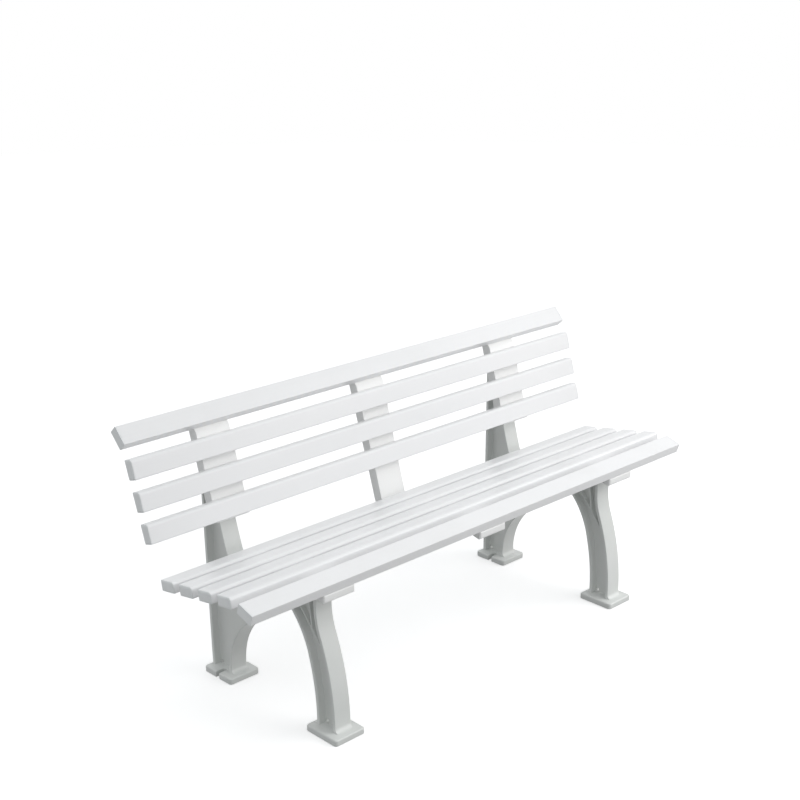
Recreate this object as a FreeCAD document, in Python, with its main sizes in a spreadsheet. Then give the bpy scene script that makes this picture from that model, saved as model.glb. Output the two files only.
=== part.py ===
import FreeCAD, Part
import math
import os
import Sketcher

# White slatted garden bench. X runs along the slats, the front faces -Y, +Z is up,
# and the origin lies on the ground under the middle of the bench. Millimetres and degrees.

SIZES = {
    # Overall layout
    "bench_length": 1500,
    "frame_spacing": 1000,
    "seat_height": 420.6,
    "seat_setback": 95.3,
    "seat_corner_reach": 48.9,
    "back_corner_reach": 129.75,
    "seat_tilt": 10,
    "back_tilt": 16.5,
    "front_slat_drop": 18,
    "top_slat_tilt": 43,
    "seat_pitch": 72.5,
    "back_pitch": 75,
    "seat_edge_reach": 35.8,
    "back_edge_reach": 37.8,
    "front_slat_reach": 31.8,
    "top_slat_reach": 33.9,
    # Slat profile and end caps
    "slat_width": 48,
    "slat_thickness": 27,
    "slat_wall": 3,
    "slat_web": 1.8,
    "slat_round": 8,
    "slat_small_round": 2.5,
    "edge_slat_round": 1.5,
    "cap_thickness": 3,
    "cap_plug": 14,
    "cap_clearance": 0.2,
    "cap_round": 2,
    "edge_cap_round": 0.5,
    # Carriers and centre bracket
    "carrier_depth": 28,
    "carrier_plate": 6,
    "carrier_wall": 5,
    "seat_carrier_width": 94,
    "back_carrier_width": 97,
    "centre_width": 92,
    "centre_waist": 84,
    "centre_wall": 4,
    "seat_tail": 26,
    "back_tail": 31,
    "centre_tail": 20,
    "seat_tab_length": 56.3,
    "seat_tab_height": 22,
    "back_tip_length": 47.9,
    "back_tip_height": 8,
    "bend_round": 25,
    "tab_round": 6,
    "cross_rib": 6,
    "long_rib_out": 24,
    "long_rib_in": 18,
    "boss_length": 20,
    # End frames
    "flange_width": 48,
    "web_thickness": 10,
    "rim_thickness": 9,
    "front_leg_setback": 27,
    "front_leg_depth": 65,
    "leg_foot_rise": 16,
    "knee_setback": 67.4,
    "knee_drop": 122,
    "shoulder_setback": 82,
    "shoulder_drop": 47,
    "calf_setback": 113,
    "calf_drop": 177,
    "arch_foot_setback": 181,
    "arch_foot_drop": 53,
    "arch_head_setback": 205,
    "arch_head_drop": 47,
    "arch_round": 18,
    "inner_calf_round": 218,
    "rear_leg_depth": 77,
    "arm_bend_run": 68,
    "arm_bend_drop": 170,
    "rear_edge_margin": 4.3,
    "post_tip_depth": 9,
    "flare": 12,
    "rib_thickness": 5,
    "rib_width": 36,
    "rib_foot_setback": 106,
    "rib_foot_drop": 104,
    "rib_stem_setback": 75,
    "rib_stem_drop": 150,
    "rib_rear_setback": 184,
    "rib_front_setback": 118,
    # Feet
    "foot_width": 92,
    "foot_depth": 108,
    "foot_thickness": 16,
    "foot_corner": 8,
    "foot_edge": 4,
    "foot_rear_margin": 7.7,
    "slot_width": 13,
    "slot_depth": 28,
    "drain_hole": 10,
    "drain_margin": 1,
    # Slat screws and frame bolts
    "screw_offset": 33,
    "screw_diameter": 4.6,
    "screw_engagement": 9,
    "screw_head_diameter": 9,
    "screw_head_height": 3.2,
    "pilot_clearance": 0.2,
    "screw_clearance": 0.8,
    "bolt_diameter": 8,
    "bolt_reach": 18,
    "bolt_clearance": 0.6,
    "bolt_flats": 13,
    "bolt_head_height": 5.3,
    "bolt_offset": 14,
    "washer_diameter": 16,
    "washer_thickness": 1.6,
    "back_low_bolt": -20,
}

SEAT_FLAT_SLATS = 4
BACK_FLAT_SLATS = 3

doc = FreeCAD.newDocument("GardenBench")
sheet = doc.addObject("Spreadsheet::Sheet", "Sizes")
layout = doc.addObject("Spreadsheet::Sheet", "Layout")
nodes = {}


class Size:
    """A number together with the expression text that yields it in the document."""

    def __init__(self, text, value):
        self.text = text
        self.value = value

    def __add__(self, other):
        other = size(other)
        return Size(f"({self.text} + {other.text})", self.value + other.value)

    def __sub__(self, other):
        other = size(other)
        return Size(f"({self.text} - {other.text})", self.value - other.value)

    def __rsub__(self, other):
        return size(other) - self

    def __mul__(self, other):
        other = size(other)
        return Size(f"({self.text} * {other.text})", self.value * other.value)

    def __truediv__(self, other):
        other = size(other)
        return Size(f"({self.text} / {other.text})", self.value / other.value)

    def __neg__(self):
        return Size(f"(-{self.text})", -self.value)

    __radd__ = __add__
    __rmul__ = __mul__


def size(number):
    if isinstance(number, Size):
        return number
    return Size(f"({number})", number)


def sine(angle):
    return Size(f"sin({angle.text})", math.sin(math.radians(angle.value)))


def cosine(angle):
    return Size(f"cos({angle.text})", math.cos(math.radians(angle.value)))


def root(value):
    return Size(f"sqrt({value.text})", math.sqrt(value.value))


# The sheet of driving sizes, and a second sheet for what follows from them.
for row, (alias, number) in enumerate(SIZES.items(), 1):
    sheet.set(f"A{row}", alias)
    sheet.set(f"B{row}", str(number))
    sheet.setAlias(f"B{row}", alias)
S = {alias: Size(f"Sizes.{alias}", number) for alias, number in SIZES.items()}
layout_rows = []


def derive(alias, value):
    layout_rows.append(alias)
    row = len(layout_rows)
    layout.set(f"A{row}", alias)
    layout.set(f"B{row}", "=" + value.text)
    layout.setAlias(f"B{row}", alias)
    return Size(f"Layout.{alias}", value.value)


class Run:
    """A straight row of slats seen from the side.

    u counts along the row towards its outer end, v away from the carrier face,
    and points come back as (y, z) of the bench.
    """

    def __init__(self, name, y, z, angle, sign):
        self.y = derive(f"{name}_origin_y", y)
        self.z = derive(f"{name}_origin_z", z)
        self.angle = derive(f"{name}_angle", angle)
        self.cos = derive(f"{name}_cos", cosine(self.angle))
        self.sin = derive(f"{name}_sin", sine(self.angle))
        self.sign = sign

    def at(self, u, v):
        along = size(u) * self.sign
        up = size(v)
        return (self.y + along * self.cos - up * self.sin,
                self.z + along * self.sin + up * self.cos)


def meeting(name, first, second, v):
    """Point where the lines at height v over two runs cross."""
    start = first.at(0, v)
    other = second.at(0, v)
    dy = other[0] - start[0]
    dz = other[1] - start[1]
    across = derive(f"{name}_across", first.cos * second.sin - first.sin * second.cos)
    reach = derive(f"{name}_reach", (dy * second.sin - dz * second.cos) / across)
    return (derive(f"{name}_y", start[0] + reach * first.cos),
            derive(f"{name}_z", start[1] + reach * first.sin))


def bind(target, path, value):
    target.setExpression(path, value.text)


def vector(point):
    return FreeCAD.Vector(point[0].value, point[1].value, 0)


def pin(sketch, geometry, position, point):
    """Hold a vertex of a sketch at a point whose coordinates are bound sizes."""
    for kind, coordinate in zip(("DistanceX", "DistanceY"), point):
        constraint = Sketcher.Constraint(kind, -1, 1, geometry, position, coordinate.value)
        bind(sketch, f"Constraints[{sketch.addConstraint(constraint)}]", coordinate)


def arc_between(start, end, radius, side):
    """Short arc from start to end, its centre to the left (side 1) or right (-1) of the chord."""
    chord = end - start
    left = FreeCAD.Vector(-chord.y, chord.x, 0).normalize()
    rise = math.sqrt(max(radius ** 2 - chord.Length ** 2 / 4, 0))
    centre = (start + end) * 0.5 + left * (side * rise)
    turns = [math.atan2(point.y - centre.y, point.x - centre.x) for point in (start, end)]
    circle = Part.Circle(centre, FreeCAD.Vector(0, 0, 1), radius)
    return Part.ArcOfCircle(circle, *turns[::side])


def outline(sketch, stations):
    """Closed outline. A station is (point) or (point, radius, side) when an arc follows it."""
    first = sketch.GeometryCount
    count = len(stations)
    ends = []
    for index, station in enumerate(stations):
        start = vector(station[0])
        end = vector(stations[(index + 1) % count][0])
        if len(station) == 1:
            sketch.addGeometry(Part.LineSegment(start, end), False)
            ends.append((1, 2))
        else:
            sketch.addGeometry(arc_between(start, end, station[1].value, station[2]), False)
            ends.append((1, 2)[::station[2]])
    for index, station in enumerate(stations):
        following = (index + 1) % count
        sketch.addConstraint(Sketcher.Constraint(
            "Coincident", first + index, ends[index][1], first + following, ends[following][0]))
        pin(sketch, first + index, ends[index][0], station[0])
        if len(station) == 3:
            constraint = Sketcher.Constraint("Radius", first + index, station[1].value)
            bind(sketch, f"Constraints[{sketch.addConstraint(constraint)}]", station[1])


def polygon(sketch, points):
    outline(sketch, [(point,) for point in points])


def circles(sketch, centres, diameter):
    for centre in centres:
        sketch.addGeometry(Part.Circle(vector(centre), FreeCAD.Vector(0, 0, 1), diameter.value / 2), False)
        geometry = sketch.GeometryCount - 1
        pin(sketch, geometry, 3, centre)
        constraint = Sketcher.Constraint("Diameter", geometry, diameter.value)
        bind(sketch, f"Constraints[{sketch.addConstraint(constraint)}]", diameter)


def body_sketch(body, name, role, offset=None):
    """Sketch on an origin plane of its body, moved along the plane's normal by a bound offset."""
    sketch = body.newObject("Sketcher::SketchObject", name)
    plane = [item for item in body.Origin.OriginFeatures if item.Role == role][0]
    sketch.AttachmentSupport = [(plane, "")]
    sketch.MapMode = "FlatFace"
    if offset is not None:
        bind(sketch, "AttachmentOffset.Base.z", offset)
    return sketch


def pad(body, sketch, length, reverse=False, symmetric=False):
    feature = body.newObject("PartDesign::Pad", f"{sketch.Name}Pad")
    feature.Profile = sketch
    feature.Reversed = reverse
    feature.SideType = "Symmetric" if symmetric else "One side"
    bind(feature, "Length", length)
    return feature


def pocket(body, sketch, length, reverse=False, symmetric=False):
    feature = body.newObject("PartDesign::Pocket", f"{sketch.Name}Pocket")
    feature.Profile = sketch
    feature.Reversed = reverse
    feature.SideType = "Symmetric" if symmetric else "One side"
    bind(feature, "Length", length)
    return feature


def place(target, x, point, angle=None):
    """Bound place in the bench's frame, turned about the X axis."""
    target.Placement = FreeCAD.Placement(
        FreeCAD.Vector(x.value, point[0].value, point[1].value),
        FreeCAD.Rotation(FreeCAD.Vector(1, 0, 0), angle.value if angle else 0))
    bind(target, "Placement.Base.x", x)
    bind(target, "Placement.Base.y", point[0])
    bind(target, "Placement.Base.z", point[1])
    if angle:
        bind(target, "Placement.Rotation.Angle", angle)


def side_sketch(name, x):
    """Free sketch in a plane across the bench: its axes are the bench's Y and Z."""
    sketch = doc.addObject("Sketcher::SketchObject", name)
    turn = FreeCAD.Rotation(FreeCAD.Vector(1, 1, 1), 120)
    sketch.Placement = FreeCAD.Placement(FreeCAD.Vector(x.value, 0, 0), turn)
    bind(sketch, "Placement.Base.x", x)
    return sketch


def extrude(base, forward, backward=None, symmetric=False):
    solid = doc.addObject("Part::Extrusion", f"{base.Name}Solid")
    solid.Base = base
    solid.DirMode = "Normal"
    solid.Solid = True
    solid.Symmetric = symmetric
    bind(solid, "LengthFwd", forward)
    if backward:
        bind(solid, "LengthRev", backward)
    return solid


def union(name, parts):
    fused = doc.addObject("Part::MultiFuse", name)
    fused.Shapes = parts
    fused.Refine = True
    return fused


def difference(name, base, tool):
    cut = doc.addObject("Part::Cut", name)
    cut.Base = base
    cut.Tool = tool
    cut.Refine = True
    return cut


def keep(name, target):
    target.Label = name
    nodes[name] = target


# Where the slats lie, counted from the front edge of the front feet and moved so that
# the origin is under the middle of the depth.
half_slat = S["slat_width"] / 2
seat_cos = cosine(S["seat_tilt"])
seat_sin = sine(S["seat_tilt"])
row_length = S["seat_pitch"] * (SEAT_FLAT_SLATS - 1) + half_slat
seat_y = S["seat_setback"] + row_length * seat_cos - S["slat_thickness"] * seat_sin
seat_z = S["seat_height"] - row_length * seat_sin - S["slat_thickness"] * seat_cos
corner_y = seat_y + S["seat_corner_reach"] * seat_cos
corner_z = seat_z - S["seat_corner_reach"] * seat_sin
back_y = corner_y + S["back_corner_reach"] * sine(S["back_tilt"])
back_z = corner_z + S["back_corner_reach"] * cosine(S["back_tilt"])
back_ridge = derive("back_ridge", S["back_pitch"] * (BACK_FLAT_SLATS - 1) + S["back_edge_reach"])
# The rearmost point is on the rounded lower corner of the top slat.
top_round = S["edge_slat_round"]
top_reach = (S["top_slat_reach"] + half_slat - top_round) * sine(S["top_slat_tilt"])
top_reach = top_reach - top_round * cosine(S["top_slat_tilt"]) + top_round
depth = derive("bench_depth", back_y + back_ridge * sine(S["back_tilt"]) + top_reach)
shift = derive("depth_shift", -depth / 2)

seat = Run("seat", seat_y + shift, seat_z, -S["seat_tilt"], -1)
seat_ridge = derive("seat_ridge", S["seat_pitch"] * (SEAT_FLAT_SLATS - 1) + S["seat_edge_reach"])
seat_edge = Run("seat_edge", *seat.at(seat_ridge, 0), S["front_slat_drop"], -1)
back = Run("back", back_y + shift, back_z, 90 - S["back_tilt"], 1)
back_edge = Run("back_edge", *back.at(back_ridge, 0), 90 - S["top_slat_tilt"], 1)
frame_x = {"left": -S["frame_spacing"] / 2, "right": S["frame_spacing"] / 2}
centre_x = S["frame_spacing"] * 0
slat_length = derive("slat_length", S["bench_length"] - S["cap_thickness"] * 2)
bend_turn = derive("bend_turn", back.angle - seat.angle)


def section(sketch, sign, large, small):
    """Outer slat profile on its carrier face: the edge towards the row's outer end is round."""
    half = half_slat * sign
    high = S["slat_thickness"]
    side = -sign
    stations = [
        ((half - large * sign, high), large, side),
        ((half, high - large),),
        ((half, small), small, side),
        ((half - small * sign, small * 0),),
        ((small * sign - half, small * 0), small, side),
        ((-half, small),),
        ((-half, high - small), small, side),
        ((small * sign - half, high),),
    ]
    outline(sketch, stations)


def chambers(sketch, sign, large, gap):
    """The three hollows inside the slat profile, each smaller by a gap all round."""
    half = half_slat - S["slat_wall"] - gap
    low = S["slat_wall"] + gap
    high = S["slat_thickness"] - S["slat_wall"] - gap
    inner = (half_slat - S["slat_wall"] - S["slat_web"]) / 3
    middle = inner - gap
    outer = inner + S["slat_web"] + gap
    polygon(sketch, [(-middle, low), (middle, low), (middle, high), (-middle, high)])
    polygon(sketch, [(-half * sign, low), (-outer * sign, low), (-outer * sign, high), (-half * sign, high)])
    if large is S["edge_slat_round"]:
        polygon(sketch, [(outer * sign, low), (half * sign, low), (half * sign, high), (outer * sign, high)])
        return
    curve = large - S["slat_wall"]
    outline(sketch, [
        ((outer * sign, low),),
        ((half * sign, low),),
        ((half * sign, high - curve), curve, sign),
        (((half - curve) * sign, high),),
        ((outer * sign, high),),
    ])


def slat(name, run, u, large, small):
    """Hollow slat with pilot holes for two screws at each of the three carriers."""
    body = doc.addObject("PartDesign::Body", name)
    profile = body_sketch(body, f"{name}_profile", "YZ_Plane")
    section(profile, run.sign, large, small)
    pad(body, profile, slat_length, symmetric=True)
    hollow = body_sketch(body, f"{name}_hollow", "YZ_Plane")
    chambers(hollow, run.sign, large, size(0))
    pocket(body, hollow, slat_length + 2, symmetric=True)
    pilots = body_sketch(body, f"{name}_pilots", "XY_Plane")
    zero = size(0)
    places = [x + S["screw_offset"] * side for x in (frame_x["left"], centre_x, frame_x["right"])
              for side in (-1, 1)]
    circles(pilots, [(x, zero) for x in places], S["screw_diameter"] + S["pilot_clearance"])
    pocket(body, pilots, S["slat_wall"] + 1, reverse=True)
    place(body, zero, run.at(u, 0), run.angle)
    keep(name, body)


def end_cap(name, run, u, large, small, side, rounding):
    """Cap with a softened outer face and three plugs that slide into the slat's hollows."""
    body = doc.addObject("PartDesign::Body", name)
    end = slat_length / 2 * side
    face = body_sketch(body, f"{name}_face", "YZ_Plane", end)
    section(face, run.sign, large, small)
    plate = pad(body, face, S["cap_thickness"], reverse=side < 0)
    plug = body_sketch(body, f"{name}_plug", "YZ_Plane", end)
    chambers(plug, run.sign, large, S["cap_clearance"])
    pad(body, plug, S["cap_plug"], reverse=side > 0)
    doc.recompute()
    outer = end.value + S["cap_thickness"].value * side
    tip = body.Tip
    edges = [f"Edge{index}" for index, edge in enumerate(tip.Shape.Edges, 1)
             if all(abs(vertex.Point.x - outer) < 0.01 for vertex in edge.Vertexes)]
    soft = body.newObject("PartDesign::Fillet", f"{name}_soft")
    soft.Base = (tip, edges)
    bind(soft, "Radius", rounding)
    place(body, size(0), run.at(u, 0), run.angle)
    keep(name, body)
    return plate


class Arm:
    """Sizes of one straight carrier arm with a bent outer end."""

    def __init__(self, name, run, edge, count, pitch, ridge, tail, reach, height, plumb):
        self.run = run
        self.edge = edge
        self.count = count
        self.pitch = pitch
        self.ridge = ridge
        self.tail = tail
        self.reach = reach
        self.height = height
        self.bend = derive(f"{name}_arm_bend", (edge.angle - run.angle) * -run.sign)
        self.plumb = self.bend if plumb is None else plumb

    def local(self, u, v):
        return (size(u) * self.run.sign, size(v))

    def bent(self, along, below):
        """Point on the bent end: distance past the ridge and depth under its face."""
        u = self.ridge + size(along) * cosine(self.bend) - size(below) * sine(self.bend)
        v = -(size(along) * sine(self.bend)) - size(below) * cosine(self.bend)
        return (u * self.run.sign, v)


seat_arm, centre_arm = [
    Arm(name, seat, seat_edge, SEAT_FLAT_SLATS, S["seat_pitch"], seat_ridge, tail,
        S["seat_tab_length"], S["seat_tab_height"], S["seat_tilt"])
    for name, tail in (("seat", S["seat_tail"]), ("centre", S["centre_tail"]))]
back_arm = Arm("back", back, back_edge, BACK_FLAT_SLATS, S["back_pitch"], back_ridge, S["back_tail"],
               S["back_tip_length"], S["back_tip_height"], None)


def tab_ends(arm):
    """Upper and lower end of the bent end's outer face."""
    tip = arm.bent(arm.reach, 0)
    lean = arm.height * sine(arm.plumb) * arm.run.sign
    return tip, (tip[0] - lean, tip[1] - arm.height * cosine(arm.plumb))


def arm_profile(sketch, arm):
    """Side view of a carrier arm: flat stretch, ridge and bent end."""
    deep = S["carrier_depth"]
    tip, heel = tab_ends(arm)
    polygon(sketch, [
        arm.local(-arm.tail, 0),
        arm.local(arm.ridge, 0),
        tip,
        heel,
        arm.local(arm.ridge, -deep),
        arm.local(-arm.tail, -deep),
    ])


def arm_cells(sketch, arm, breaks):
    """Open cells under the carrier face, between cross walls at the given places."""
    top = -S["carrier_plate"]
    bottom = -(S["carrier_depth"] + 5)
    for start, end in breaks:
        polygon(sketch, [arm.local(start, top), arm.local(end, top),
                         arm.local(end, bottom), arm.local(start, bottom)])
    under = S["carrier_depth"] + 5
    start = S["carrier_wall"]
    end = arm.reach - S["carrier_wall"]
    polygon(sketch, [arm.bent(start, S["carrier_plate"]), arm.bent(end, S["carrier_plate"]),
                     arm.bent(end, under), arm.bent(start + under * sine(arm.bend), under)])


def slat_cells(arm):
    """One cell under each flat slat."""
    half_rib = S["cross_rib"] / 2
    breaks = []
    for index in range(arm.count):
        start = arm.pitch * (index - 0.5) + half_rib if index else S["carrier_wall"] - arm.tail
        last = index == arm.count - 1
        end = arm.ridge - half_rib if last else arm.pitch * (index + 0.5) - half_rib
        breaks.append((start, end))
    return breaks


def boss_cells(arm, bolts):
    """Cells of the middle strip, which stays solid round the bolts."""
    half_boss = S["boss_length"] / 2
    low, high = bolts
    breaks = [(low + half_boss, high - half_boss), (high + half_boss, arm.ridge - S["cross_rib"] / 2)]
    tail = S["carrier_wall"] - arm.tail
    if (low - half_boss).value - tail.value > 5:
        breaks.insert(0, (tail, low - half_boss))
    return breaks


def taper(body, name, arm, width, waist):
    """Slim both sides of a carrier from its full width at the ridge to a waist at its tail."""
    beyond = width / 2 + 5
    for side, label in ((1, "plus"), (-1, "minus")):
        wedge = body_sketch(body, f"{name}_taper_{label}", "XY_Plane")
        wide = arm.ridge * arm.run.sign
        narrow = -(arm.tail * arm.run.sign)
        past = narrow - size(5) * arm.run.sign
        polygon(wedge, [(width / 2 * side, wide), (waist / 2 * side, narrow),
                        (waist / 2 * side, past), (beyond * side, past), (beyond * side, wide)])
        pocket(body, wedge, S["carrier_depth"] * 2 + 10, symmetric=True)


def round_tab(body, name, arm, width):
    """Round the two outer corners of a tab that shows under the front slat."""
    doc.recompute()
    corners = [(point[0].value, point[1].value) for point in tab_ends(arm)]
    tip = body.Tip
    edges = [f"Edge{index}" for index, edge in enumerate(tip.Shape.Edges, 1)
             if all(abs(abs(vertex.Point.x) - width.value / 2) < 0.01
                    and any(abs(vertex.Point.y - y) < 0.01 and abs(vertex.Point.z - z) < 0.01
                            for y, z in corners)
                    for vertex in edge.Vertexes)]
    soft = body.newObject("PartDesign::Fillet", f"{name}_tab_round")
    soft.Base = (tip, edges)
    bind(soft, "Radius", S["tab_round"])


def carrier(name, arm, x, width, bolts, waist=None):
    """Ribbed channel, open below, that carries the slats of one row."""
    body = doc.addObject("PartDesign::Body", name)
    zero = size(0)
    shape = body_sketch(body, f"{name}_shape", "YZ_Plane")
    arm_profile(shape, arm)
    pad(body, shape, width, symmetric=True)
    if arm.run is seat:
        round_tab(body, name, arm, width)
    edge = waist / 2 - S["centre_wall"] if waist else width / 2 - S["carrier_wall"]
    across = edge - S["long_rib_out"]
    for side, label in ((1, "plus"), (-1, "minus")):
        cells = body_sketch(body, f"{name}_cells_{label}", "YZ_Plane", S["long_rib_out"] * side)
        arm_cells(cells, arm, slat_cells(arm))
        pocket(body, cells, across, reverse=side > 0)
    middle = body_sketch(body, f"{name}_middle", "YZ_Plane")
    arm_cells(middle, arm, boss_cells(arm, bolts) if bolts else slat_cells(arm))
    pocket(body, middle, S["long_rib_in"] * 2, symmetric=True)
    screws = body_sketch(body, f"{name}_screws", "XY_Plane")
    hole = S["screw_diameter"] + S["screw_clearance"]
    circles(screws, [(S["screw_offset"] * side, arm.pitch * index * arm.run.sign)
                     for index in range(arm.count) for side in (-1, 1)], hole)
    pocket(body, screws, S["carrier_plate"] + 1)
    reach = S["front_slat_reach"] if arm.run is seat else S["top_slat_reach"]
    outer = body_sketch(body, f"{name}_edge_screws", "XY_Plane")
    turn = arm.edge.angle - arm.run.angle
    outer.AttachmentOffset = FreeCAD.Placement(
        FreeCAD.Vector(0, 0, 0), FreeCAD.Rotation(FreeCAD.Vector(1, 0, 0), turn.value))
    centre = arm.bent(reach, 0)
    bind(outer, "AttachmentOffset.Base.y", centre[0])
    bind(outer, "AttachmentOffset.Base.z", centre[1])
    bind(outer, "AttachmentOffset.Rotation.Angle", turn)
    circles(outer, [(S["screw_offset"] * side, zero) for side in (-1, 1)], hole)
    pocket(body, outer, S["carrier_plate"] + 1)
    if bolts:
        seats = body_sketch(body, f"{name}_bolts", "XY_Plane", -S["carrier_depth"])
        circles(seats, [(S["bolt_offset"] * side, bolt * arm.run.sign)
                        for bolt in bolts for side in (-1, 1)],
                S["bolt_diameter"] + S["bolt_clearance"])
        pocket(body, seats, S["bolt_reach"] + 1, reverse=True)
    if waist:
        taper(body, name, arm, width, waist)
    place(body, x, (arm.run.y, arm.run.z), arm.run.angle)
    return body


def bend_stations(v, extra):
    """The rounded corner between seat row and back row at height v, from seat to back."""
    corner = meeting(f"bend{extra}", seat, back, v)
    radius = derive(f"bend{extra}_radius", S["bend_round"] - v)
    half_turn = bend_turn / 2
    tangent = derive(f"bend{extra}_tangent", radius * sine(half_turn) / cosine(half_turn))
    before = (corner[0] - tangent * seat.cos, corner[1] - tangent * seat.sin)
    after = (corner[0] + tangent * back.cos, corner[1] + tangent * back.sin)
    return before, after, radius


bend_face = bend_stations(size(0), "_face")
bend_inner = bend_stations(-S["carrier_plate"], "_inner")
bend_outer = bend_stations(-S["carrier_depth"], "_outer")
bend_beyond = bend_stations(-(S["carrier_depth"] + 5), "_beyond")


def elbow_loop(sketch, near, far, near_v, far_v):
    """Closed outline of the bend between two heights over the rows."""
    outline(sketch, [
        (seat.at(-S["centre_tail"], near_v),),
        (near[0], near[2], 1),
        (near[1],),
        (back.at(-S["back_tail"], near_v),),
        (back.at(-S["back_tail"], far_v),),
        (far[1], far[2], -1),
        (far[0],),
        (seat.at(-S["centre_tail"], far_v),),
    ])


def centre_bracket():
    """L-shaped carrier without legs: seat arm, rounded elbow and back arm in one piece."""
    width = S["centre_width"]
    waist = S["centre_waist"]
    seat_part = carrier("CentreSeat", centre_arm, centre_x, width, None, waist)
    back_part = carrier("CentreBack", back_arm, centre_x, width, None, waist)
    shape = side_sketch("CentreElbow", centre_x)
    elbow_loop(shape, bend_face, bend_outer, size(0), -S["carrier_depth"])
    elbow = extrude(shape, waist, symmetric=True)
    strip = waist / 2 - S["centre_wall"] - S["long_rib_out"]
    hollows = []
    for label, start, across in (("Middle", -S["long_rib_in"], S["long_rib_in"] * 2),
                                 ("Plus", S["long_rib_out"], strip),
                                 ("Minus", -(S["long_rib_out"] + strip), strip)):
        cell = side_sketch(f"CentreCell{label}", start)
        elbow_loop(cell, bend_inner, bend_beyond, -S["carrier_plate"], -(S["carrier_depth"] + 5))
        hollows.append(extrude(cell, across))
    corner = difference("CentreCorner", elbow, union("CentreHollows", hollows))
    keep("centre_bracket", union("CentreBracket", [seat_part, back_part, corner]))


def rail_at(setback, drop):
    """Point under the seat rail: distance from the front feet and depth below the rail's top."""
    y = setback + shift
    under = seat.at(0, -S["carrier_depth"])
    rail = under[1] + (y - under[0]) * seat.sin / seat.cos
    return (y, rail - drop)


def upright_radius(start, end):
    """Radius of the arc that leaves start straight upwards and reaches end."""
    across = end[0] - start[0]
    rise = end[1] - start[1]
    return (across * across + rise * rise) / (2 * root(across * across))


knee = rail_at(S["knee_setback"], S["knee_drop"])
shoulder = rail_at(S["shoulder_setback"], S["shoulder_drop"])
rail_front = rail_at(S["shoulder_setback"], size(0))
calf = rail_at(S["calf_setback"], S["calf_drop"])
arch_foot = rail_at(S["arch_foot_setback"], S["arch_foot_drop"])
arch_head = rail_at(S["arch_head_setback"], S["arch_head_drop"])
rear_edge = derive("rear_edge", back.at(back_ridge, -S["carrier_depth"])[0] + S["rear_edge_margin"])
foot_top = S["foot_thickness"]
leg_foot = derive("leg_foot", foot_top + S["leg_foot_rise"])
rear_front = derive("rear_leg_front", rear_edge - S["rear_leg_depth"])
arm_bend_y = rear_front - S["arm_bend_run"]
arm_bend = (derive("arm_bend_y", arm_bend_y),
            derive("arm_bend_z", arch_head[1] - S["arm_bend_drop"] + S["arch_head_drop"]))
post_front = derive("post_front", rear_edge - S["post_tip_depth"])
post_low = back.at(0, -S["carrier_depth"])
post_top = derive("post_top", post_low[1] + (post_front - post_low[0]) * back.sin / back.cos)
leg_front = S["front_leg_setback"] + shift
leg_rear = leg_front + S["front_leg_depth"]
rear_foot_y = derive("rear_foot_y", rear_edge + S["foot_rear_margin"] - S["foot_depth"])


def frame_outline(sketch, flared):
    """Side view of an end frame: front leg, seat rail, back post, rear leg and arch.

    Flared legs widen into the foot plates; the plain form serves to find the recess."""
    low_front = (leg_front, leg_foot)
    low_rear = (leg_rear, leg_foot)
    low_arm = (rear_front, leg_foot)
    body = [
        (low_front, upright_radius(low_front, knee), -1),
        (knee, upright_radius(shoulder, knee), 1),
        (shoulder,),
        (rail_front,),
        (bend_outer[0], bend_outer[2], 1),
        (bend_outer[1],),
        ((post_front, post_top),),
        ((rear_edge, post_top),),
    ]
    arch = [
        (low_arm, upright_radius(low_arm, arm_bend), 1),
        (arm_bend,),
        (arch_head, S["arch_round"], 1),
        (arch_foot, S["inner_calf_round"], 1),
        (calf, upright_radius(low_rear, calf), 1),
        (low_rear,),
    ]
    if not flared:
        bottom = foot_top - S["rim_thickness"]
        outline(sketch, [((leg_front, bottom),)] + body + [
            ((rear_edge, bottom),),
            ((rear_front, bottom),),
        ] + arch + [((leg_rear, bottom),)])
        return
    flare = S["flare"]
    bottom = foot_top / 2
    outline(sketch, [
        ((leg_front - flare, bottom),),
        ((leg_front - flare, foot_top), flare, 1),
        ((leg_front, foot_top + flare),),
    ] + body + [
        ((rear_edge, bottom),),
        ((rear_front - flare, bottom),),
        ((rear_front - flare, foot_top), flare, 1),
        ((rear_front, foot_top + flare),),
    ] + arch + [
        ((leg_rear, foot_top + flare), flare, 1),
        ((leg_rear + flare, foot_top),),
        ((leg_rear + flare, bottom),),
    ])


def foot(name, x, y):
    """Rectangular foot plate with rounded corners and a softened top edge."""
    body = doc.addObject("PartDesign::Body", name)
    plan = body_sketch(body, f"{name}_plan", "XY_Plane")
    half = S["foot_width"] / 2
    corner = S["foot_corner"]
    deep = S["foot_depth"]
    zero = size(0)
    outline(plan, [
        ((corner - half, zero),),
        ((half - corner, zero), corner, 1),
        ((half, corner),),
        ((half, deep - corner), corner, 1),
        ((half - corner, deep),),
        ((corner - half, deep), corner, 1),
        ((-half, deep - corner),),
        ((-half, corner), corner, 1),
    ])
    pad(body, plan, foot_top)
    doc.recompute()
    tip = body.Tip
    edges = [f"Edge{index}" for index, edge in enumerate(tip.Shape.Edges, 1)
             if all(abs(vertex.Point.z - foot_top.value) < 0.01 for vertex in edge.Vertexes)]
    soft = body.newObject("PartDesign::Fillet", f"{name}_soft")
    soft.Base = (tip, edges)
    bind(soft, "Radius", S["foot_edge"])
    place(body, x, (y, zero))
    return body


def box(name, x, y, z, length, width, height):
    block = doc.addObject("Part::Box", name)
    bind(block, "Length", length)
    bind(block, "Width", width)
    bind(block, "Height", height)
    place(block, x, (y, z))
    return block


def cylinder(name, diameter, height, x, point, angle=None):
    rod = doc.addObject("Part::Cylinder", name)
    bind(rod, "Radius", diameter / 2)
    bind(rod, "Height", height)
    place(rod, x, point, angle)
    return rod


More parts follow.
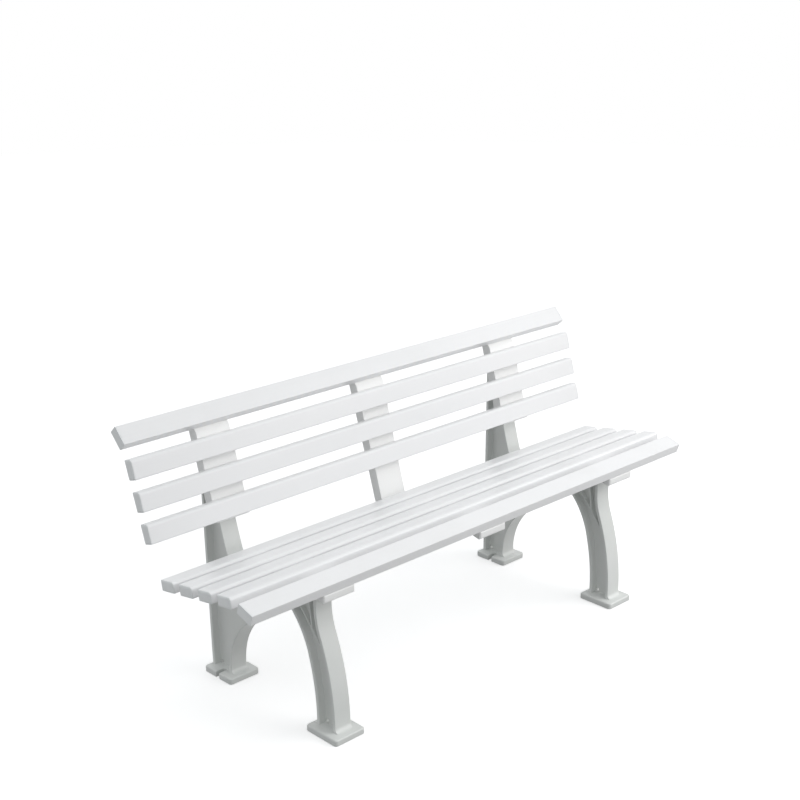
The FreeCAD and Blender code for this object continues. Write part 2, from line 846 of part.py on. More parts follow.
def rib(name, x, low, high):
    """Rib that stands on the web, from one point up to a higher one."""
    half = S["rib_thickness"] / 2
    sketch = side_sketch(name, x)
    polygon(sketch, [(low[0] - half, low[1]), (low[0] + half, low[1]),
                     (high[0] + half, high[1]), (high[0] - half, high[1])])
    return extrude(sketch, S["rib_width"], symmetric=True)


def anchor_slots(name, x):
    """Round-ended slots in both sides of the rear foot plate, for ground anchors."""
    half = S["foot_width"] / 2
    radius = S["slot_width"] / 2
    centre_y = rear_foot_y + S["foot_depth"] / 2
    inner = half - S["slot_depth"] + radius
    tall = foot_top + 2
    tools = []
    for side, label in ((-1, "Minus"), (1, "Plus")):
        start = x + inner if side > 0 else x - half - 1
        tools.append(box(f"{name}Slot{label}", start, centre_y - radius, size(-1),
                         half - inner + 1, S["slot_width"], tall))
        tools.append(cylinder(f"{name}SlotEnd{label}", S["slot_width"], tall,
                              x + inner * side, (centre_y, size(-1))))
    return tools


SEAT_BOLTS = (S["seat_pitch"] * 0.5, S["seat_pitch"] * 2.5)
BACK_BOLTS = (S["back_low_bolt"], S["back_pitch"] * 0.5)


def end_frame(side):
    """Moulded end frame: full-width rim round the outline, thin web, ribs and foot plates."""
    name = f"Frame{side.capitalize()}"
    x = frame_x[side]
    plan = side_sketch(f"{name}Outline", x)
    frame_outline(plan, True)
    straight = side_sketch(f"{name}Straight", x)
    frame_outline(straight, False)
    inner = doc.addObject("Part::Offset2D", f"{name}Inner")
    inner.Source = straight
    inner.Join = "Intersection"
    bind(inner, "Value", -S["rim_thickness"])
    full = extrude(plan, S["flange_width"], symmetric=True)
    recess = extrude(inner, S["flange_width"] + 2, symmetric=True)
    rim = difference(f"{name}Rim", full, recess)
    web_plan = side_sketch(f"{name}Web", x)
    frame_outline(web_plan, True)
    web = extrude(web_plan, S["web_thickness"], symmetric=True)
    rib_meeting = rail_at(S["rib_foot_setback"], S["rib_foot_drop"])
    solid = union(f"{name}Cast", [
        rim, web,
        rib(f"{name}RibRear", x, rib_meeting, rail_at(S["rib_rear_setback"], S["rim_thickness"] / 2)),
        rib(f"{name}RibFront", x, rib_meeting, rail_at(S["rib_front_setback"], S["rim_thickness"] / 2)),
        rib(f"{name}RibStem", x, rail_at(S["rib_stem_setback"], S["rib_stem_drop"]), rib_meeting),
        foot(f"{name}FootFront", x, shift),
        foot(f"{name}FootRear", x, rear_foot_y),
    ])
    tools = anchor_slots(name, x)
    hole = S["bolt_diameter"] + S["bolt_clearance"]
    through = S["rim_thickness"] + 4
    for arm, bolts in ((seat_arm, SEAT_BOLTS), (back_arm, BACK_BOLTS)):
        for index, bolt in enumerate(bolts):
            low = arm.run.at(bolt, -(S["carrier_depth"] + S["rim_thickness"] + 2))
            for offset, label in ((-1, "Minus"), (1, "Plus")):
                tools.append(cylinder(f"{name}Hole{arm.count}{index}{label}", hole, through,
                                      x + S["bolt_offset"] * offset, low, arm.run.angle))
    drains = []
    for label, rim_y in (("Front", leg_rear), ("Rear", rear_edge)):
        reach = S["drain_hole"] / 2 + S["drain_margin"]
        sketch = side_sketch(f"{name}Drain{label}", x)
        circles(sketch, [(rim_y - S["rim_thickness"] - reach, foot_top + reach)], S["drain_hole"])
        drains.append(extrude(sketch, S["web_thickness"] + 2, symmetric=True))
    keep(f"end_frame_{side}", difference(name, solid, union(f"{name}Tools", tools + drains)))


def face_sketch(name, x, run, v):
    """Free sketch parallel to the carrier face of a row, v above it."""
    sketch = doc.addObject("Sketcher::SketchObject", name)
    place(sketch, x, run.at(0, v), run.angle)
    return sketch


def screws(name, run, x, places):
    """Pan-head screws of one row at one carrier, each a solid of its own."""
    below = -S["carrier_plate"]
    centres = [(S["screw_offset"] * side, size(u) * run.sign) for u in places for side in (-1, 1)]
    shank = face_sketch(f"{name}Shank", x, run, below)
    circles(shank, centres, S["screw_diameter"])
    head = face_sketch(f"{name}Head", x, run, below)
    circles(head, centres, S["screw_head_diameter"])
    rods = extrude(shank, S["carrier_plate"] + S["screw_engagement"])
    heads = extrude(head, size(0), S["screw_head_height"])
    return union(name, [rods, heads])


def screw_group(name, arm, x):
    title = name.title().replace("_", "")
    reach = S["front_slat_reach"] if arm.run is seat else S["top_slat_reach"]
    flat = screws(f"{title}Flat", arm.run, x, [arm.pitch * index for index in range(arm.count)])
    edge = screws(f"{title}Edge", arm.edge, x, [reach])
    group = doc.addObject("Part::Compound", title)
    group.Links = [flat, edge]
    keep(name, group)


def bolt_groups(side):
    """Hexagon bolts with washers that hold the two carriers on one end frame."""
    x = frame_x[side]
    under = -(S["carrier_depth"] + S["rim_thickness"])
    bolts = []
    washers = []
    for arm, places_along in ((seat_arm, SEAT_BOLTS), (back_arm, BACK_BOLTS)):
        for index, along in enumerate(places_along):
            for offset, label in ((-1, "Minus"), (1, "Plus")):
                title = f"{side.capitalize()}{arm.count}{index}{label}"
                bolt_x = x + S["bolt_offset"] * offset
                angle = arm.run.angle
                ring_at = arm.run.at(along, under - S["washer_thickness"])
                ring = cylinder(f"Ring{title}", S["washer_diameter"], S["washer_thickness"],
                                bolt_x, ring_at, angle)
                bore = cylinder(f"Bore{title}", S["bolt_diameter"] + S["bolt_clearance"],
                                S["washer_thickness"] + 2, bolt_x,
                                arm.run.at(along, under - S["washer_thickness"] - 1), angle)
                washers.append(difference(f"Washer{title}", ring, bore))
                head = doc.addObject("Part::Prism", f"Head{title}")
                head.Polygon = 6
                bind(head, "Circumradius", S["bolt_flats"] / root(size(3)))
                bind(head, "Height", S["bolt_head_height"])
                head_v = under - S["washer_thickness"] - S["bolt_head_height"]
                place(head, bolt_x, arm.run.at(along, head_v), angle)
                rod = cylinder(f"Rod{title}", S["bolt_diameter"],
                               S["washer_thickness"] + S["rim_thickness"] + S["bolt_reach"],
                               bolt_x, ring_at, angle)
                bolts.append(union(f"Bolt{title}", [head, rod]))
    for name, members in ((f"frame_bolts_{side}", bolts), (f"frame_washers_{side}", washers)):
        group = doc.addObject("Part::Compound", name.title().replace("_", ""))
        group.Links = members
        keep(name, group)


def build_slats():
    """Nine slats, each with a cap in both ends."""
    round_edge = S["slat_round"]
    small = S["slat_small_round"]
    sharp = S["edge_slat_round"]
    rows = [(f"seat_slat_{index + 1}", seat, S["seat_pitch"] * index, round_edge, small)
            for index in range(SEAT_FLAT_SLATS)]
    rows.append(("front_edge_slat", seat_edge, S["front_slat_reach"], sharp, sharp))
    rows += [(f"back_slat_{index + 1}", back, S["back_pitch"] * index, round_edge, small)
             for index in range(BACK_FLAT_SLATS)]
    rows.append(("top_slat", back_edge, S["top_slat_reach"], sharp, sharp))
    for name, run, u, large, little in rows:
        slat(name, run, u, large, little)
        rounding = S["edge_cap_round"] if large is sharp else S["cap_round"]
        for side, label in ((-1, "left"), (1, "right")):
            end_cap(f"cap_{name}_{label}", run, u, large, little, side, rounding)


def export():
    """Recompute, refuse anything failed, and write one STEP file for each node."""
    doc.recompute()
    failed = [item.Name for item in doc.Objects if {"Invalid", "Error"} & set(item.State)]
    if failed:
        raise RuntimeError(f"not built: {failed}")
    os.makedirs("parts", exist_ok=True)
    for name, target in nodes.items():
        shape = target.Shape
        if shape.isNull() or not shape.isValid():
            raise RuntimeError(f"{name} has no valid shape")
        shape.exportStep(f"parts/{name}.step")
        print(name, len(shape.Solids), round(shape.Volume))


build_slats()
for frame_side in ("left", "right"):
    end_frame(frame_side)
    frame_at = frame_x[frame_side]
    keep(f"seat_carrier_{frame_side}", carrier(
        f"SeatCarrier{frame_side.capitalize()}", seat_arm, frame_at, S["seat_carrier_width"], SEAT_BOLTS))
    keep(f"back_carrier_{frame_side}", carrier(
        f"BackCarrier{frame_side.capitalize()}", back_arm, frame_at, S["back_carrier_width"], BACK_BOLTS))
    bolt_groups(frame_side)
centre_bracket()
for group_label, group_x in (("left", frame_x["left"]), ("centre", centre_x), ("right", frame_x["right"])):
    screw_group(f"seat_screws_{group_label}", seat_arm, group_x)
    screw_group(f"back_screws_{group_label}", back_arm, group_x)
export()
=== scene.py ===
"""White slatted garden bench: looks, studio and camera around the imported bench."""

import math

import bmesh
import bpy
from bpy.props import FloatProperty, FloatVectorProperty, PointerProperty
from mathutils import Matrix, Vector


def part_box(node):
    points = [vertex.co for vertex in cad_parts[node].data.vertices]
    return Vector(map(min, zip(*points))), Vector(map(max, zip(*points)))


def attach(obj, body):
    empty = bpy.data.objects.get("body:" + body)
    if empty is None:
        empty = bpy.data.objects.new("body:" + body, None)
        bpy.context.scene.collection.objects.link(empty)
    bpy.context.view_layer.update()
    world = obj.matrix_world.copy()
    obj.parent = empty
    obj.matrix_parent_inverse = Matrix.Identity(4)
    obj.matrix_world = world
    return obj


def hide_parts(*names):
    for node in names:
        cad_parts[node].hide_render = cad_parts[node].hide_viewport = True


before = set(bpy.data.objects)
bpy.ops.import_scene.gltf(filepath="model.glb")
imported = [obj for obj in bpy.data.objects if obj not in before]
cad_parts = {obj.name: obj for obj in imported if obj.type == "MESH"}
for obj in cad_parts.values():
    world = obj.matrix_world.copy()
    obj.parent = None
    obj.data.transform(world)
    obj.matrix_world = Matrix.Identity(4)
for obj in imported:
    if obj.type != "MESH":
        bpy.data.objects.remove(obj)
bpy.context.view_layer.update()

bl_info = {
    "name": "Slatted garden bench",
    "version": (1, 0, 0),
    "blender": (4, 5, 0),
    "location": "3D View > Sidebar > Bench",
    "description": "Builds the slats, end frames, brackets, fixings and studio of a garden bench",
    "category": "Object",
}

SEAT_SLATS = 4
BACK_SLATS = 3
SIDES = {"left": -1, "right": 1}

# Parts of a place or a direction.
X = 0
Z = 2

SAME_PLACE = 1e-6
MERGE_REACH = 2e-6
FACE_WEIGHT = 60
DARK_SPANGLE = 0.72
DOME_STEPS = 6
ROUND_STEPS = 4
SOFT_ROUND_STEPS = 9
HEAD_SIDES = 24
LOBE_SIDES = 4
SHANK_SIDES = 16
ROD_SIDES = 20
FLOOR_SIDES = 96
SENSOR_WIDTH = 36.0

# Where smooth shading breaks into a crease, in degrees, for each material slot.
CREASE = {"slat_plastic": 50, "cap_plastic": 50, "frame_plastic": 40, "carrier_plastic": 40,
          "screw_steel": 35, "bolt_steel": 35, "washer_steel": 35}

# Rings of a pan head from its seat to its crown: width against the last ring, and share of the height.
HEAD_RINGS = ((1.0, 0.45), (0.94, 0.25), (0.84, 0.18), (0.78, 0.12))
RECESS_WIDTH = 0.92
RECESS_WAIST = 0.8
RECESS_TAPER = 0.96
RECESS_DEPTH = 0.55


def length(name, description, default):
    return FloatProperty(name=name, description=description, default=default, unit="LENGTH", min=0.0)


def angle(name, description, degrees):
    return FloatProperty(name=name, description=description, default=math.radians(degrees),
                         subtype="ANGLE", unit="ROTATION")


def colour(name, description, default):
    return FloatVectorProperty(name=name, description=description, default=default,
                               subtype="COLOR", min=0.0, max=1.0)


def spot(name, description, default):
    return FloatVectorProperty(name=name, description=description, default=default,
                               subtype="TRANSLATION", unit="LENGTH")


def share(name, description, default):
    return FloatProperty(name=name, description=description, default=default, min=0.0, max=1.0,
                         subtype="FACTOR")


class BenchSizes(bpy.types.PropertyGroup):
    """Where the rows of slats lie and how their profile is rounded."""

    bench_length: length("Bench length", "From cap to cap", 1.5)
    frame_spacing: length("Frame spacing", "Between the middles of the end frames", 1.0)
    seat_height: length("Seat height", "Top of the front flat slat", 0.4206)
    seat_setback: length("Seat setback", "Front flat slat behind the front feet", 0.0953)
    seat_tilt: angle("Seat tilt", "Fall of the seat towards the back", 10)
    back_tilt: angle("Back tilt", "Lean of the back from upright", 16.5)
    front_slat_drop: angle("Front slat drop", "Fall of the front slat towards the front", 18)
    top_slat_tilt: angle("Top slat tilt", "Lean of the top slat from upright", 43)
    seat_pitch: length("Seat pitch", "Between the middles of seat slats", 0.0725)
    back_pitch: length("Back pitch", "Between the middles of back slats", 0.075)
    corner_reach: length("Corner reach", "Rear seat slat to the corner of seat and back", 0.0489)
    back_reach: length("Back reach", "Corner to the lowest back slat", 0.12975)
    seat_edge: length("Seat edge", "Front flat slat to the bend", 0.0358)
    back_edge: length("Back edge", "Upper back slat to the bend", 0.0378)
    front_slat: length("Front slat", "Bend to the middle of the front slat", 0.0318)
    top_slat: length("Top slat", "Bend to the middle of the top slat", 0.0339)
    slat_width: length("Slat width", "Across the profile", 0.048)
    slat_thickness: length("Slat thickness", "Through the profile", 0.027)
    slat_round: length("Slat round", "Radius of the soft long edge", 0.008)
    slat_small_round: length("Slat small round", "Radius of the other long edges", 0.0025)
    edge_slat_round: length("Edge slat round", "Long edges of the front and the top slat", 0.0015)
    cap_thickness: length("Cap thickness", "Plate of an end cap", 0.003)
    cap_dome: length("Cap dome", "How far a cap's rim rounds over along the slat", 0.0024)
    cap_dome_inward: length("Cap dome inward", "How far the same rounding reaches into the face", 0.0065)
    seam: length("Seam", "Broken edge where cap and slat meet", 0.00035)


class BenchEdges(bpy.types.PropertyGroup):
    """Rounding of the moulded pieces, and the sizes and places of screws and bolts."""

    frame_soft: length("Frame edges", "Rounding of the end frames", 0.0012)
    carrier_soft: length("Bracket edges", "Rounding of brackets and carriers", 0.001)
    washer_soft: length("Washer edges", "Rounding of the washers", 0.0002)
    screw_offset: length("Screw offset", "Screws from the middle of a carrier", 0.033)
    screw_radius: length("Screw radius", "Shank of a slat screw", 0.0023)
    screw_head_radius: length("Screw head radius", "Pan head of a slat screw", 0.0045)
    screw_head_height: length("Screw head height", "Pan head of a slat screw", 0.0032)
    screw_grip: length("Screw grip", "Carrier plate under the slat", 0.006)
    screw_reach: length("Screw reach", "Shank inside the slat", 0.009)
    bolt_offset: length("Bolt offset", "Bolts from the middle of a frame", 0.014)
    bolt_radius: length("Bolt radius", "Shank of a frame bolt", 0.004)
    bolt_flats: length("Bolt flats", "Across the flats of a bolt's head", 0.013)
    bolt_head_height: length("Bolt head height", "Head of a frame bolt", 0.0053)
    bolt_reach: length("Bolt reach", "Shank inside the carrier", 0.018)
    bolt_wear: length("Bolt wear", "Worn edge under a bolt's head", 0.0008)
    low_bolts: length("Low bolts", "Lowest bolts of the back below the lowest slat's middle", 0.02)
    washer_thickness: length("Washer thickness", "Under each bolt's head", 0.0016)
    carrier_depth: length("Carrier depth", "Face to underside of a carrier", 0.028)
    rim_thickness: length("Rim thickness", "Flange of an end frame", 0.009)
    drain_from_front: length("Front drain", "Middle of the front hole behind the frame's front", 0.077)
    drain_from_rear: length("Rear drain", "Middle of the rear hole before the frame's rear", 0.0227)
    drain_height: length("Drain height", "Middle of both holes above the floor", 0.022)
    drain_edge: length("Drain edge", "Round each middle, where edges stay crisp", 0.0054)
    flange_half: length("Flange half", "Middle of an end frame to the side of its flange", 0.024)
    foot_height: length("Foot height", "Top of the feet, where the flange's sides stay crisp", 0.016)


class BenchFinish(bpy.types.PropertyGroup):
    """Colours and gloss."""

    slat_colour: colour("Slats", "Extruded white plastic", (0.89, 0.887, 0.893))
    slat_shade: colour("Slats in the mottle", "Darker part of its faint mottling", (0.843, 0.846, 0.854))
    # Carriers: painted light. Both colours are lifted above the other white mouldings to make up for the
    # shade the slats cast on the carriers; the darker one is still the flow-mark tone.
    carrier_colour_lifted_by_painted_light: colour("Carriers", "Moulded white plastic", (0.95, 0.95, 0.945))
    carrier_flow_tone_lifted_by_painted_light: colour("Carriers in the flow", "Darker part of its flow marks", (0.91, 0.91, 0.90))
    cap_colour: colour("Caps", "Moulded white plastic", (0.865, 0.88, 0.885))
    cap_shade: colour("Caps in the mottle", "Darker part of its faint mottling", (0.825, 0.84, 0.845))
    # Frames: the greenish tint of both colours is painted shade, the green cast of the frames' shaded
    # sides put into the colour; the darker one is still the flow-mark tone.
    frame_colour_with_painted_green_shade: colour("Frames", "Thick moulded white plastic", (0.795, 0.805, 0.79))
    frame_flow_tone_with_painted_green_shade: colour("Frames in the flow", "Darker part of its flow marks", (0.73, 0.75, 0.727))
    dust: colour("Dust", "What settles on upward faces", (0.56, 0.54, 0.50))
    dust_amount: share("Dust amount", "How much shows", 0.10)
    gloss: share("Roughness", "Of the slats", 0.30)
    mould_gloss: share("Mould roughness", "Of the mouldings", 0.36)
    steel: colour("Steel", "Screws", (0.56, 0.57, 0.58))
    zinc: colour("Zinc", "Bolts and washers", (0.62, 0.63, 0.64))


class BenchStudio(bpy.types.PropertyGroup):
    """Floor, even light, key lamp and camera."""

    floor: colour("Floor", "Floor as the light sees it", (0.29, 0.29, 0.29))
    floor_seen: colour("Floor seen", "Floor as the camera sees it", (0.8, 0.8, 0.8))
    lift: share("Floor lift", "White that the background adds to the floor", 0.45)
    sky: share("Sky", "Even light from all round", 0.35)
    overhead: share("Overhead", "Further even light from straight above", 0.66)
    sky_tint: colour("Sky tint", "Colour of the even light", (0.967, 0.99, 1.0))
    key: FloatProperty(name="Key lamp", description="Large lamp at the front", default=71.0, unit="POWER")
    lamp_size: length("Lamp size", "Width of the large lamp", 3.5)
    lamp_height: length("Lamp height", "Height of the large lamp", 2.73)
    lamp_place: spot("Lamp place", "Middle of the large lamp", (2.3, -2.6, 2.2))
    lamp_aim: spot("Lamp aim", "What the large lamp points at", (0.0, 0.0, 0.45))
    lamp_tint: colour("Lamp tint", "Colour of the large lamp", (1.0, 0.99, 0.985))
    floor_radius: length("Floor radius", "Size of the round floor", 9.0)
    lens: FloatProperty(name="Lens", description="Focal length in millimetres", default=62.33)
    shift_across: FloatProperty(name="Shift across", description="Framing, of the picture's width",
                                default=-0.0083)
    shift_up: FloatProperty(name="Shift up", description="Framing, of the picture's width",
                            default=0.1868)
    camera_place: spot("Camera place", "Where the camera stands", (-2.3015, -2.3261, 1.7294))
    camera_pitch: angle("Camera pitch", "From straight down", 65.609)
    camera_roll: angle("Camera roll", "About its own view", 0.273)
    camera_heading: angle("Camera heading", "About the upright", -43.854)


class Value:
    """A number inside a material, usable in arithmetic."""

    def __init__(self, graph, socket):
        self.graph = graph
        self.socket = socket

    def _apply(self, operation, first, second):
        return self.graph.value("ShaderNodeMath", {"operation": operation}, {0: first, 1: second})

    def __add__(self, other):
        return self._apply("ADD", self, other)

    def __sub__(self, other):
        return self._apply("SUBTRACT", self, other)

    def __rsub__(self, other):
        return self._apply("SUBTRACT", other, self)

    def __mul__(self, other):
        return self._apply("MULTIPLY", self, other)

    def __abs__(self):
        return self._apply("ABSOLUTE", self, 0.0)

    def clamped(self):
        return self.graph.value("ShaderNodeClamp", {}, {"Value": self})

    __radd__ = __add__
    __rmul__ = __mul__


class Graph:
    """The node tree of one material or of the world, and the nodes that several of them need."""

    def __init__(self, owner):
        owner.use_nodes = True
        self.tree = owner.node_tree
        self.tree.nodes.clear()

    def node(self, kind, settings=None, sockets=None):
        """Any node, from its type, its settings, and the values or links of its sockets."""
        made = self.tree.nodes.new(kind)
        for key, setting in (settings or {}).items():
            setattr(made, key, setting)
        for key, given in (sockets or {}).items():
            if isinstance(given, Value):
                given = given.socket
            if isinstance(given, bpy.types.NodeSocket):
                self.tree.links.new(given, made.inputs[key])
            else:
                made.inputs[key].default_value = given
        return made

    def value(self, kind, settings=None, sockets=None, output=0):
        """The same, with one of its outputs ready for arithmetic."""
        return Value(self, self.node(kind, settings, sockets).outputs[output])

    def place(self, scale=(1, 1, 1)):
        """Object coordinates, stretched."""
        where = self.node("ShaderNodeTexCoord").outputs["Object"]
        return self.node("ShaderNodeMapping", {}, {"Vector": where, "Scale": scale}).outputs[0]

    def axis(self, index):
        """One part of the object coordinates."""
        where = self.node("ShaderNodeTexCoord").outputs["Object"]
        return self.value("ShaderNodeSeparateXYZ", {}, {0: where}, index)

    def facing(self, index):
        """One part of the surface normal."""
        normal = self.node("ShaderNodeNewGeometry").outputs["Normal"]
        return self.value("ShaderNodeSeparateXYZ", {}, {0: normal}, index)

    def noise(self, where, scale, detail=2.0, rough=0.5):
        """Cloudy pattern from 0 to 1."""
        return self.value("ShaderNodeTexNoise", {}, {
            "Vector": where, "Scale": scale, "Detail": detail, "Roughness": rough})

    def seen_at_once(self):
        """1 for the camera, in reflections and through glass, 0 where the surface only gives light."""
        path = self.node("ShaderNodeLightPath")
        rays = [Value(self, path.outputs[f"Is {ray} Ray"]) for ray in ("Camera", "Glossy", "Transmission")]
        return (rays[0] + rays[1] + rays[2]).clamped()

    def spots(self, where, scale):
        """Distance from the nearest of many scattered points."""
        return self.value("ShaderNodeTexVoronoi", {}, {"Vector": where, "Scale": scale})

    def between(self, given, low, high, start=0.0, end=1.0):
        """Moves the range low to high onto start to end, and stops there."""
        return self.value("ShaderNodeMapRange", {"clamp": True}, {
            "Value": given, "From Min": low, "From Max": high, "To Min": start, "To Max": end})

    def mix(self, first, second, factor):
        """Colour between two others: sockets 6 and 7 and output 2 are the Mix node's colours."""
        made = self.node("ShaderNodeMix", {"data_type": "RGBA"}, {0: factor, 6: first, 7: second})
        return made.outputs[2]

    def bump(self, height, distance, strength):
        """Surface normal, tilted by a height."""
        return self.node("ShaderNodeBump", {}, {
            "Height": height, "Distance": distance, "Strength": strength}).outputs[0]

    def finish(self, shader, kind="ShaderNodeOutputMaterial"):
        """Ends the tree in its output node."""
        self.node(kind, {}, {"Surface": shader})


def rgb(given):
    return (given[0], given[1], given[2], 1.0)


def settled_dust(graph, base, finish):
    """Faint dust on faces that look up, in cloudy patches."""
    up = graph.between(graph.facing(Z), 0.35, 0.95)
    cloud = graph.between(graph.noise(graph.place(), scale=9.0, detail=4.0, rough=0.6), 0.45, 0.75)
    return graph.mix(base, rgb(finish.dust), up * cloud * finish.dust_amount)


def slat_plastic(finish):
    """Extruded plastic: die lines along the slat, soft waviness and a few rubbed places."""
    made = bpy.data.materials.new("slat_plastic_white")
    graph = Graph(made)
    along = graph.place((0.6, 2.2, 2.2))
    broad = graph.between(graph.noise(along, scale=2.4, detail=3.0), 0.3, 0.7)
    streak = graph.noise(graph.place((0.9, 85, 85)), scale=3.0, detail=3.0, rough=0.6)
    fine = graph.noise(graph.place((1.2, 420, 420)), scale=3.0, rough=0.7)
    grain = graph.noise(graph.place(), scale=1500.0)
    patches = graph.noise(graph.place((1, 5, 5)), scale=14.0, detail=5.0, rough=0.65)
    rubbed = graph.between(patches, 0.58, 0.72)
    tone = graph.mix(rgb(finish.slat_shade), rgb(finish.slat_colour), broad * 0.6 + streak * 0.4)
    base = settled_dust(graph, tone, finish)
    rough = finish.gloss + streak * 0.08 + rubbed * 0.10 + grain * 0.04 - 0.06
    wave = graph.noise(graph.place((0.35, 1.6, 1.6)), scale=9.0)
    height = wave * 0.5 + streak * 0.05 + fine * 0.015 + grain * 0.012
    graph.finish(principled(graph, base, rough, graph.bump(height, distance=0.0006, strength=0.5)))
    return made


def moulded_plastic(finish, name, colours, parting=None):
    """Moulded plastic: flow marks, fine grain and pits.

    Frames also have the mould's parting line, at the distance parting from the bench's middle.
    """
    made = bpy.data.materials.new(name)
    graph = Graph(made)
    flow = graph.noise(graph.place((7, 7, 2.2)), scale=2.7, detail=4.0, rough=0.6)
    cloud = graph.between(graph.noise(graph.place(), scale=6.0, detail=3.0), 0.32, 0.68)
    grain = graph.noise(graph.place(), scale=1100.0)
    pits = graph.between(graph.spots(graph.place(), scale=520.0), 0.0, 0.18, start=1.0, end=0.0)
    # For carriers the two colours carry painted light, lifted against the shade between the slats.
    # For frames the two colours carry painted shade in their greenish tint.
    tone = graph.mix(rgb(colours[1]), rgb(colours[0]), cloud * 0.6 + flow * 0.4)
    base = settled_dust(graph, tone, finish)
    rough = finish.mould_gloss + flow * 0.10 + grain * 0.06 - 0.06
    height = cloud * 0.35 + flow * 0.10 + grain * 0.03 - pits * 0.02
    if parting:
        off_middle = abs(abs(graph.axis(X)) - parting)
        height = height + graph.between(off_middle, 0.0002, 0.0007, start=0.22, end=0.0)
    graph.finish(principled(graph, base, rough, graph.bump(height, distance=0.0006, strength=0.5)))
    return made


def cap_plastic(finish):
    """Small mouldings: a finely eroded, slightly duller face."""
    made = bpy.data.materials.new("cap_plastic_white")
    graph = Graph(made)
    cloud = graph.between(graph.noise(graph.place(), scale=22.0, detail=3.0), 0.3, 0.7)
    grain = graph.noise(graph.place(), scale=1900.0, detail=3.0, rough=0.7)
    tone = graph.mix(rgb(finish.cap_shade), rgb(finish.cap_colour), cloud)
    base = settled_dust(graph, tone, finish)
    rough = finish.mould_gloss + grain * 0.14 - 0.03
    height = grain * 0.12 + cloud * 0.1
    graph.finish(principled(graph, base, rough, graph.bump(height, distance=0.0005, strength=0.6)))
    return made


def metal(name, tone, dull, spangle):
    """Steel or zinc with fine scratches and cloudy spangle, on a roughness that starts at dull."""
    made = bpy.data.materials.new(name)
    graph = Graph(made)
    cloud = graph.between(graph.spots(graph.place(), spangle), 0.1, 0.8)
    scratch = graph.noise(graph.place((1, 1, 14)), scale=420.0, detail=3.0, rough=0.7)
    dark = [part * DARK_SPANGLE for part in tone]
    base = graph.mix(rgb(dark), rgb(tone), cloud * 0.6 + scratch * 0.4)
    rough = dull + scratch * 0.16 + cloud * 0.06 - 0.08
    shader = principled(graph, base, rough, graph.bump(scratch, distance=0.0002, strength=0.4))
    shader.node.inputs["Metallic"].default_value = 1.0
    graph.finish(shader)
    return made


def principled(graph, base, rough, normal):
    """The shader that every finish of the bench ends in."""
    made = graph.node("ShaderNodeBsdfPrincipled", {}, {
        "Base Color": base, "Roughness": rough.clamped(), "Normal": normal})
    return made.outputs[0]


class Row:
    """A straight row of slats seen from the side. Distances count outwards along the row."""

    def __init__(self, y, z, tilt, sign):
        self.y = y
        self.z = z
        self.tilt = tilt
        self.sign = sign

    def at(self, along, above, x=0.0):
        """A place along the row and above the undersides of its slats."""
        step = along * self.sign
        return Vector((x, self.y + step * math.cos(self.tilt) - above * math.sin(self.tilt),
                       self.z + step * math.sin(self.tilt) + above * math.cos(self.tilt)))

    def matrix(self, along, above=0.0, x=0.0):
        """Lays something modelled flat at the origin into the row."""
        return Matrix.Translation(self.at(along, above, x)) @ Matrix.Rotation(self.tilt, 4, "X")


def rows(sizes):
    """The four rows: flat seat slats, front slat, back slats and top slat."""
    reach = sizes.seat_pitch * (SEAT_SLATS - 1) + sizes.slat_width / 2
    tilt = sizes.seat_tilt
    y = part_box("end_frame_left")[0].y + sizes.seat_setback
    y += reach * math.cos(tilt) - sizes.slat_thickness * math.sin(tilt)
    z = sizes.seat_height - reach * math.sin(tilt) - sizes.slat_thickness * math.cos(tilt)
    seat = Row(y, z, -tilt, -1)
    front = seat.at(sizes.seat_pitch * (SEAT_SLATS - 1) + sizes.seat_edge, 0)
    corner = seat.at(-sizes.corner_reach, 0)
    lean = math.pi / 2 - sizes.back_tilt
    back = Row(corner.y + sizes.back_reach * math.cos(lean),
               corner.z + sizes.back_reach * math.sin(lean), lean, 1)
    top = back.at(sizes.back_pitch * (BACK_SLATS - 1) + sizes.back_edge, 0)
    return {
        "seat": seat,
        "front": Row(front.y, front.z, sizes.front_slat_drop, -1),
        "back": back,
        "top": Row(top.y, top.z, math.pi / 2 - sizes.top_slat_tilt, 1),
    }


def slats(sizes):
    """Name, row, place along the row and whether the slat is a square-edged one."""
    made = [(f"seat_slat_{index + 1}", "seat", sizes.seat_pitch * index, False)
            for index in range(SEAT_SLATS)]
    made += [(f"back_slat_{index + 1}", "back", sizes.back_pitch * index, False)
             for index in range(BACK_SLATS)]
    made.append(("front_edge_slat", "front", sizes.front_slat, True))
    made.append(("top_slat", "top", sizes.top_slat, True))
    return made


def piece(name, shape, material, slot, node):
    """Turns a bmesh into a finished, shaded piece that stands for a CAD node."""
    mesh = bpy.data.meshes.new(name)
    shape.to_mesh(mesh)
    shape.free()
    mesh.materials.append(material)
    mesh.shade_smooth()
    mesh.set_sharp_from_angle(angle=math.radians(CREASE[slot]))
    made = bpy.data.objects.new(name, mesh)
    bpy.context.scene.collection.objects.link(made)
    normals = made.modifiers.new("even_normals", "WEIGHTED_NORMAL")
    normals.keep_sharp = True
    normals.weight = FACE_WEIGHT
    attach(made, "root")
    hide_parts(node)


def block(shape, low, high):
    """Adds a box between two corners."""
    size = Vector(high) - Vector(low)
    middle = (Vector(high) + Vector(low)) / 2
    bmesh.ops.create_cube(shape, size=1.0, matrix=(
        Matrix.Translation(middle) @ Matrix.Diagonal((*size, 1.0))))


def round_edges(shape, edges, radius, segments):
    """Rounds edges over by a bevel, and returns what that made."""
    return bmesh.ops.bevel(shape, geom=edges, offset=radius, offset_type="OFFSET", segments=segments,
                           profile=0.5, affect="EDGES", clamp_overlap=True, material=-1)


def lengthwise(shape):
    """Edges that run along the slat."""
    return [edge for edge in shape.edges if abs(edge.verts[0].co.x - edge.verts[1].co.x) > SAME_PLACE]


